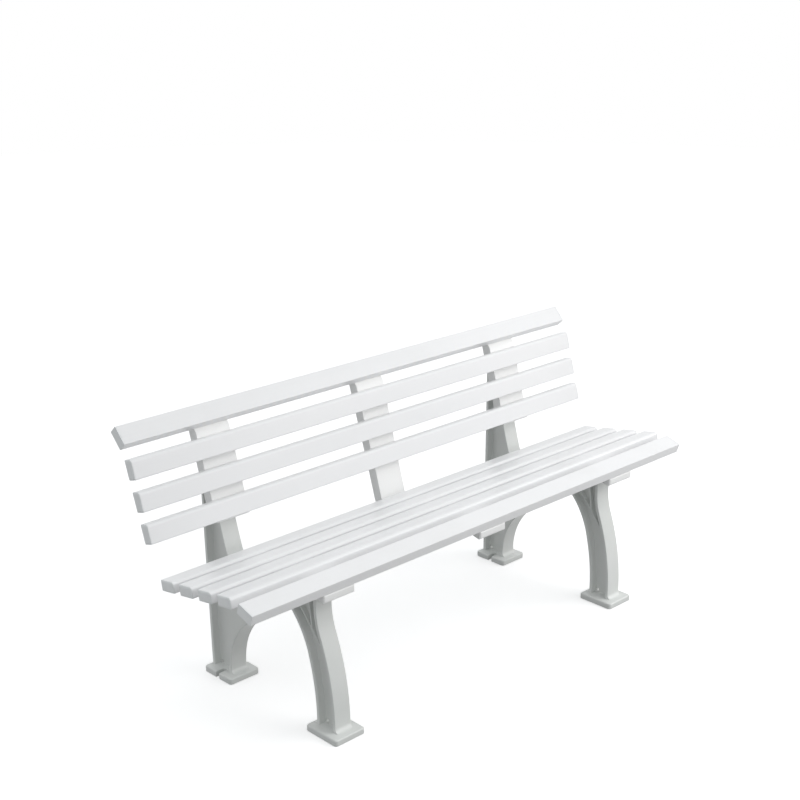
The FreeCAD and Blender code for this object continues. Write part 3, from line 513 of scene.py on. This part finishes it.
def bar(shape, start, end, sizes, sign, square):
    """A length of slat profile from start to end along X, its long edges rounded."""
    half = sizes.slat_width / 2
    high = sizes.slat_thickness
    block(shape, (start, -half, 0), (end, half, high))
    if square:
        round_edges(shape, lengthwise(shape), sizes.edge_slat_round, ROUND_STEPS)
        return

    def at_soft_edge(edge):
        return all(abs(vertex.co.y - half * sign) < SAME_PLACE and vertex.co.z > high - SAME_PLACE
                   for vertex in edge.verts)

    others = [edge for edge in lengthwise(shape) if not at_soft_edge(edge)]
    round_edges(shape, others, sizes.slat_small_round, ROUND_STEPS)
    soft = [edge for edge in lengthwise(shape) if at_soft_edge(edge)]
    round_edges(shape, soft, sizes.slat_round, SOFT_ROUND_STEPS)


def rim(shape, x):
    """Edges of the end face at x."""
    return [edge for edge in shape.edges
            if all(abs(vertex.co.x - x) < SAME_PLACE for vertex in edge.verts)]


def dome(shape, x, way, sizes):
    """Rounds a cap over: its outer face, at x, rises in ever smaller rings."""
    face = [face for face in shape.faces
            if all(abs(vertex.co.x - x) < SAME_PLACE for vertex in face.verts)][0]
    bmesh.ops.translate(shape, vec=(-sizes.cap_dome * way, 0, 0), verts=face.verts)
    about = Matrix.Translation((0, 0, -sizes.slat_thickness / 2))
    turns = [math.pi / 2 * step / DOME_STEPS for step in range(DOME_STEPS + 1)]
    for before, after in zip(turns, turns[1:]):
        face = bmesh.ops.extrude_discrete_faces(shape, faces=[face])["faces"][0]
        wide, high = [
            (half - sizes.cap_dome_inward * (1 - math.cos(after)))
            / (half - sizes.cap_dome_inward * (1 - math.cos(before)))
            for half in (sizes.slat_width / 2, sizes.slat_thickness / 2)]
        bmesh.ops.scale(shape, vec=(1, wide, high), space=about, verts=face.verts)
        rise = sizes.cap_dome * (math.sin(after) - math.sin(before)) * way
        bmesh.ops.translate(shape, vec=(rise, 0, 0), verts=face.verts)


def softened(node, width, segments=2, sharpest=28, crisp=None):
    """A merged copy of a CAD piece with its edges rounded over, other than the crisp ones."""
    shape = bmesh.new()
    shape.from_mesh(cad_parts[node].data)
    bmesh.ops.remove_doubles(shape, verts=shape.verts, dist=MERGE_REACH)
    edges = [edge for edge in shape.edges
             if len(edge.link_faces) == 2 and edge.calc_face_angle() > math.radians(sharpest)
             and not (crisp and all(crisp(vertex.co) for vertex in edge.verts))]
    bmesh.ops.bevel(shape, geom=edges, offset=width, offset_type="OFFSET", segments=segments,
                    profile=0.5, affect="EDGES", clamp_overlap=False, loop_slide=False, material=-1)
    return shape


def crisp_places(node, edges):
    """A test for the places of an end frame whose edges stay crisp.

    These are the drain holes, and where the sides of the flange run out into the feet.
    """
    low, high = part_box(node)
    middle = (low.x + high.x) / 2
    drains = [Vector((low.y + edges.drain_from_front, edges.drain_height)),
              Vector((high.y - edges.drain_from_rear, edges.drain_height))]

    def crisp(place):
        aside = abs(abs(place.x - middle) - edges.flange_half)
        if aside < edges.frame_soft / 2 and abs(place.z - edges.foot_height) < edges.frame_soft:
            return True
        return any((place.yz - drain).length < edges.drain_edge for drain in drains)

    return crisp


class BENCH_OT_slats(bpy.types.Operator):
    """Build the nine slats with their long edges rounded"""

    bl_idname = "bench.slats"
    bl_label = "Slats"

    def execute(self, context):
        sizes = context.scene.bench_sizes
        material = slat_plastic(context.scene.bench_finish)
        places = rows(sizes)
        end = sizes.bench_length / 2 - sizes.cap_thickness
        for name, row, along, square in slats(sizes):
            shape = bmesh.new()
            bar(shape, -end, end, sizes, places[row].sign, square)
            round_edges(shape, rim(shape, -end) + rim(shape, end), sizes.seam, segments=1)
            bmesh.ops.transform(shape, matrix=places[row].matrix(along), verts=shape.verts)
            piece(f"{name}_profile", shape, material, "slat_plastic", name)
        return {"FINISHED"}


class BENCH_OT_caps(bpy.types.Operator):
    """Build the eighteen end caps"""

    bl_idname = "bench.caps"
    bl_label = "End caps"

    def execute(self, context):
        sizes = context.scene.bench_sizes
        material = cap_plastic(context.scene.bench_finish)
        places = rows(sizes)
        for name, row, along, square in slats(sizes):
            for side, way in SIDES.items():
                inner = (sizes.bench_length / 2 - sizes.cap_thickness) * way
                outer = sizes.bench_length / 2 * way
                shape = bmesh.new()
                bar(shape, min(inner, outer), max(inner, outer), sizes, places[row].sign, square)
                if square:
                    round_edges(shape, rim(shape, outer), sizes.edge_slat_round / 3, segments=3)
                else:
                    dome(shape, outer, way, sizes)
                round_edges(shape, rim(shape, inner), sizes.seam, segments=1)
                bmesh.ops.transform(shape, matrix=places[row].matrix(along), verts=shape.verts)
                piece(f"{name}_cap_{side}", shape, material, "cap_plastic", f"cap_{name}_{side}")
        return {"FINISHED"}


class BENCH_OT_frames(bpy.types.Operator):
    """Soften the edges of the two end frames"""

    bl_idname = "bench.frames"
    bl_label = "End frames"

    def execute(self, context):
        sizes = context.scene.bench_sizes
        edges = context.scene.bench_edges
        finish = context.scene.bench_finish
        # The frame colours carry painted shade in their greenish tint.
        material = moulded_plastic(finish, "frame_plastic_white_painted_shade",
                                   (finish.frame_colour_with_painted_green_shade, finish.frame_flow_tone_with_painted_green_shade), sizes.frame_spacing / 2)
        for side in SIDES:
            node = f"end_frame_{side}"
            shape = softened(node, edges.frame_soft, crisp=crisp_places(node, edges))
            piece(f"{node}_moulding", shape, material, "frame_plastic", node)
        return {"FINISHED"}


class BENCH_OT_carriers(bpy.types.Operator):
    """Soften the edges of the carriers and of the centre bracket"""

    bl_idname = "bench.carriers"
    bl_label = "Carriers and centre bracket"

    def execute(self, context):
        edges = context.scene.bench_edges
        finish = context.scene.bench_finish
        # The carrier colours carry painted light, lifted against the shade between the slats.
        material = moulded_plastic(finish, "carrier_plastic_white_painted_light",
                                   (finish.carrier_colour_lifted_by_painted_light, finish.carrier_flow_tone_lifted_by_painted_light))
        nodes = [f"{row}_carrier_{side}" for row in ("seat", "back") for side in SIDES]
        for node in nodes + ["centre_bracket"]:
            shape = softened(node, edges.carrier_soft)
            piece(f"{node}_moulding", shape, material, "carrier_plastic", node)
        return {"FINISHED"}


def ring_up(shape, ring, scale, rise):
    """Extrudes a face into a further ring, scaled about its middle and raised."""
    made = bmesh.ops.extrude_discrete_faces(shape, faces=[ring])["faces"][0]
    middle = made.calc_center_median()
    bmesh.ops.scale(shape, vec=(scale, scale, 1), space=Matrix.Translation(-middle), verts=made.verts)
    bmesh.ops.translate(shape, vec=(0, 0, rise), verts=made.verts)
    return made


def screw(shape, matrix, edges):
    """Pan-head screw along local +Z, its head below the origin, with a six-point recess."""
    before = set(shape.verts)
    high = edges.screw_head_height
    bmesh.ops.create_circle(shape, cap_ends=True, segments=HEAD_SIDES, radius=edges.screw_head_radius)
    face = [vertex for vertex in shape.verts if vertex not in before][0].link_faces[0]
    if face.normal.z > 0:
        face.normal_flip()
    seat = list(face.verts)
    for scale, drop in HEAD_RINGS:
        face = ring_up(shape, face, scale, -high * drop)
    face = ring_up(shape, face, RECESS_WIDTH, 0)
    middle = face.calc_center_median()
    for index, vertex in enumerate(face.verts):
        if index % LOBE_SIDES in (0, 1):
            vertex.co.xy = middle.xy + (vertex.co.xy - middle.xy) * RECESS_WAIST
    ring_up(shape, face, RECESS_TAPER, high * RECESS_DEPTH)
    shape.faces.new(reversed(seat))
    made = [vertex for vertex in shape.verts if vertex not in before]
    deep = edges.screw_grip + edges.screw_reach
    shank = bmesh.ops.create_cone(shape, cap_ends=True, segments=SHANK_SIDES, radius1=edges.screw_radius,
                                  radius2=edges.screw_radius, depth=deep,
                                  matrix=Matrix.Translation((0, 0, deep / 2)))["verts"]
    bmesh.ops.transform(shape, matrix=matrix, verts=made + shank)


class BENCH_OT_screws(bpy.types.Operator):
    """Build the pan-head screws that hold the slats from below and behind"""

    bl_idname = "bench.screws"
    bl_label = "Slat screws"

    def execute(self, context):
        sizes = context.scene.bench_sizes
        edges = context.scene.bench_edges
        material = metal("stainless_steel", context.scene.bench_finish.steel, dull=0.30, spangle=900.0)
        places = rows(sizes)
        groups = {"seat": ("seat", "front"), "back": ("back", "top")}
        middles = {"left": -sizes.frame_spacing / 2, "centre": 0.0, "right": sizes.frame_spacing / 2}
        for group, members in groups.items():
            for label, middle in middles.items():
                shape = bmesh.new()
                for _, row, along, _ in slats(sizes):
                    if row not in members:
                        continue
                    for way in SIDES.values():
                        x = middle + edges.screw_offset * way
                        screw(shape, places[row].matrix(along, -edges.screw_grip, x), edges)
                node = f"{group}_screws_{label}"
                piece(f"{node}_set", shape, material, "screw_steel", node)
        return {"FINISHED"}


def bolt(shape, matrix, edges):
    """Hexagon bolt along local +Z, its head below the origin, the head's outer edge worn round."""
    corner = edges.bolt_flats / math.sqrt(3)
    high = edges.bolt_head_height
    head = bmesh.ops.create_cone(shape, cap_ends=True, segments=6, radius1=corner, radius2=corner,
                                 depth=high, matrix=Matrix.Translation((0, 0, -high / 2)))["verts"]
    around = dict.fromkeys(edge for vertex in head for edge in vertex.link_edges)
    under = [edge for edge in around
             if all(vertex.co.z < -high + SAME_PLACE for vertex in edge.verts)]
    worn = round_edges(shape, under, edges.bolt_wear, segments=2)["verts"]
    rod = edges.washer_thickness + edges.rim_thickness + edges.bolt_reach
    shank = bmesh.ops.create_cone(shape, cap_ends=True, segments=ROD_SIDES, radius1=edges.bolt_radius,
                                  radius2=edges.bolt_radius, depth=rod,
                                  matrix=Matrix.Translation((0, 0, rod / 2)))["verts"]
    verts = {vertex for vertex in [*head, *worn, *shank] if vertex.is_valid}
    bmesh.ops.transform(shape, matrix=matrix, verts=list(verts))


class BENCH_OT_bolts(bpy.types.Operator):
    """Build the hexagon bolts and finish the washers of both end frames"""

    bl_idname = "bench.bolts"
    bl_label = "Frame bolts and washers"

    def execute(self, context):
        sizes = context.scene.bench_sizes
        edges = context.scene.bench_edges
        material = metal("zinc_plated_steel", context.scene.bench_finish.zinc, dull=0.38, spangle=600.0)
        places = rows(sizes)
        spots = [("seat", sizes.seat_pitch * 0.5), ("seat", sizes.seat_pitch * 2.5),
                 ("back", -edges.low_bolts), ("back", sizes.back_pitch * 0.5)]
        under = -(edges.carrier_depth + edges.rim_thickness + edges.washer_thickness)
        for side, way in SIDES.items():
            shape = bmesh.new()
            for row, along in spots:
                for offset in SIDES.values():
                    x = sizes.frame_spacing / 2 * way + edges.bolt_offset * offset
                    bolt(shape, places[row].matrix(along, under, x), edges)
            node = f"frame_bolts_{side}"
            piece(f"{node}_set", shape, material, "bolt_steel", node)
            node = f"frame_washers_{side}"
            shape = softened(node, edges.washer_soft, segments=1, sharpest=40)
            piece(f"{node}_set", shape, material, "washer_steel", node)
        return {"FINISHED"}


def floor_paint(studio):
    """Pale floor that gives off less light than it shows, and keeps the shadow."""
    made = bpy.data.materials.new("studio_floor")
    graph = Graph(made)
    seen = graph.seen_at_once()
    tone = graph.mix(rgb(studio.floor), rgb(studio.floor_seen), seen)
    plain = graph.node("ShaderNodeBsdfDiffuse", {}, {"Color": tone}).outputs[0]
    lift = graph.node("ShaderNodeEmission", {}, {"Strength": seen * studio.lift}).outputs[0]
    graph.finish(graph.node("ShaderNodeAddShader", {}, {0: plain, 1: lift}).outputs[0])
    return made


def sky_light(studio):
    """Even light, stronger from above, that looks plain white."""
    made = bpy.data.worlds.new("studio_sky")
    graph = Graph(made)
    seen = graph.seen_at_once()
    where = graph.node("ShaderNodeTexCoord").outputs["Generated"]
    height = graph.value("ShaderNodeSeparateXYZ", {}, {0: where}, Z).clamped()
    light = graph.node("ShaderNodeBackground", {}, {
        "Color": rgb(studio.sky_tint), "Strength": height * studio.overhead + studio.sky}).outputs[0]
    white = graph.node("ShaderNodeBackground", {}, {"Color": (1.0, 1.0, 1.0, 1.0)}).outputs[0]
    graph.finish(graph.node("ShaderNodeMixShader", {}, {0: seen, 1: light, 2: white}).outputs[0],
                 "ShaderNodeOutputWorld")
    return made


class BENCH_OT_studio(bpy.types.Operator):
    """Lay the floor, hang the lamp and set up the camera"""

    bl_idname = "bench.studio"
    bl_label = "Studio"

    def execute(self, context):
        scene = context.scene
        studio = scene.bench_studio
        shape = bmesh.new()
        bmesh.ops.create_circle(shape, cap_ends=True, segments=FLOOR_SIDES, radius=studio.floor_radius)
        mesh = bpy.data.meshes.new("studio_floor")
        shape.to_mesh(mesh)
        shape.free()
        mesh.materials.append(floor_paint(studio))
        floor = bpy.data.objects.new("studio_floor", mesh)
        scene.collection.objects.link(floor)
        scene.world = sky_light(studio)

        light = bpy.data.lights.new("key_lamp", "AREA")
        light.shape = "RECTANGLE"
        light.size = studio.lamp_size
        light.size_y = studio.lamp_height
        light.energy = studio.key
        light.color = studio.lamp_tint
        lamp = bpy.data.objects.new("key_lamp", light)
        lamp.location = studio.lamp_place
        way = Vector(studio.lamp_aim) - Vector(studio.lamp_place)
        lamp.rotation_euler = way.to_track_quat("-Z", "Y").to_euler()
        scene.collection.objects.link(lamp)

        camera = bpy.data.cameras.new("camera")
        camera.lens = studio.lens
        camera.sensor_fit = "HORIZONTAL"
        camera.sensor_width = SENSOR_WIDTH
        camera.shift_x = studio.shift_across
        camera.shift_y = studio.shift_up
        stand = bpy.data.objects.new("camera", camera)
        stand.location = studio.camera_place
        stand.rotation_euler = (studio.camera_pitch, studio.camera_roll, studio.camera_heading)
        scene.collection.objects.link(stand)
        scene.camera = stand
        scene.view_settings.view_transform = "Standard"
        return {"FINISHED"}


class BENCH_PT_panel(bpy.types.Panel):
    """Steps that build the bench, in order"""

    bl_idname = "BENCH_PT_panel"
    bl_label = "Garden bench"
    bl_space_type = "VIEW_3D"
    bl_region_type = "UI"
    bl_category = "Bench"

    def draw(self, context):
        for operator in OPERATORS:
            self.layout.operator(operator.bl_idname)
        for group in GROUPS:
            column = self.layout.column(heading=group)
            owner = getattr(context.scene, group)
            for name in owner.bl_rna.properties.keys():
                if name not in ("rna_type", "name"):
                    column.prop(owner, name)


OPERATORS = (BENCH_OT_slats, BENCH_OT_caps, BENCH_OT_frames, BENCH_OT_carriers,
             BENCH_OT_screws, BENCH_OT_bolts, BENCH_OT_studio)
GROUPS = {"bench_sizes": BenchSizes, "bench_edges": BenchEdges, "bench_finish": BenchFinish,
          "bench_studio": BenchStudio}
CLASSES = (*GROUPS.values(), *OPERATORS, BENCH_PT_panel)


def register():
    for made in CLASSES:
        bpy.utils.register_class(made)
    for name, group in GROUPS.items():
        setattr(bpy.types.Scene, name, PointerProperty(type=group))


def unregister():
    for name in GROUPS:
        delattr(bpy.types.Scene, name)
    for made in reversed(CLASSES):
        bpy.utils.unregister_class(made)


def main():
    register()
    bpy.ops.bench.slats()
    bpy.ops.bench.caps()
    bpy.ops.bench.frames()
    bpy.ops.bench.carriers()
    bpy.ops.bench.screws()
    bpy.ops.bench.bolts()
    bpy.ops.bench.studio()


if __name__ == "__main__":
    main()
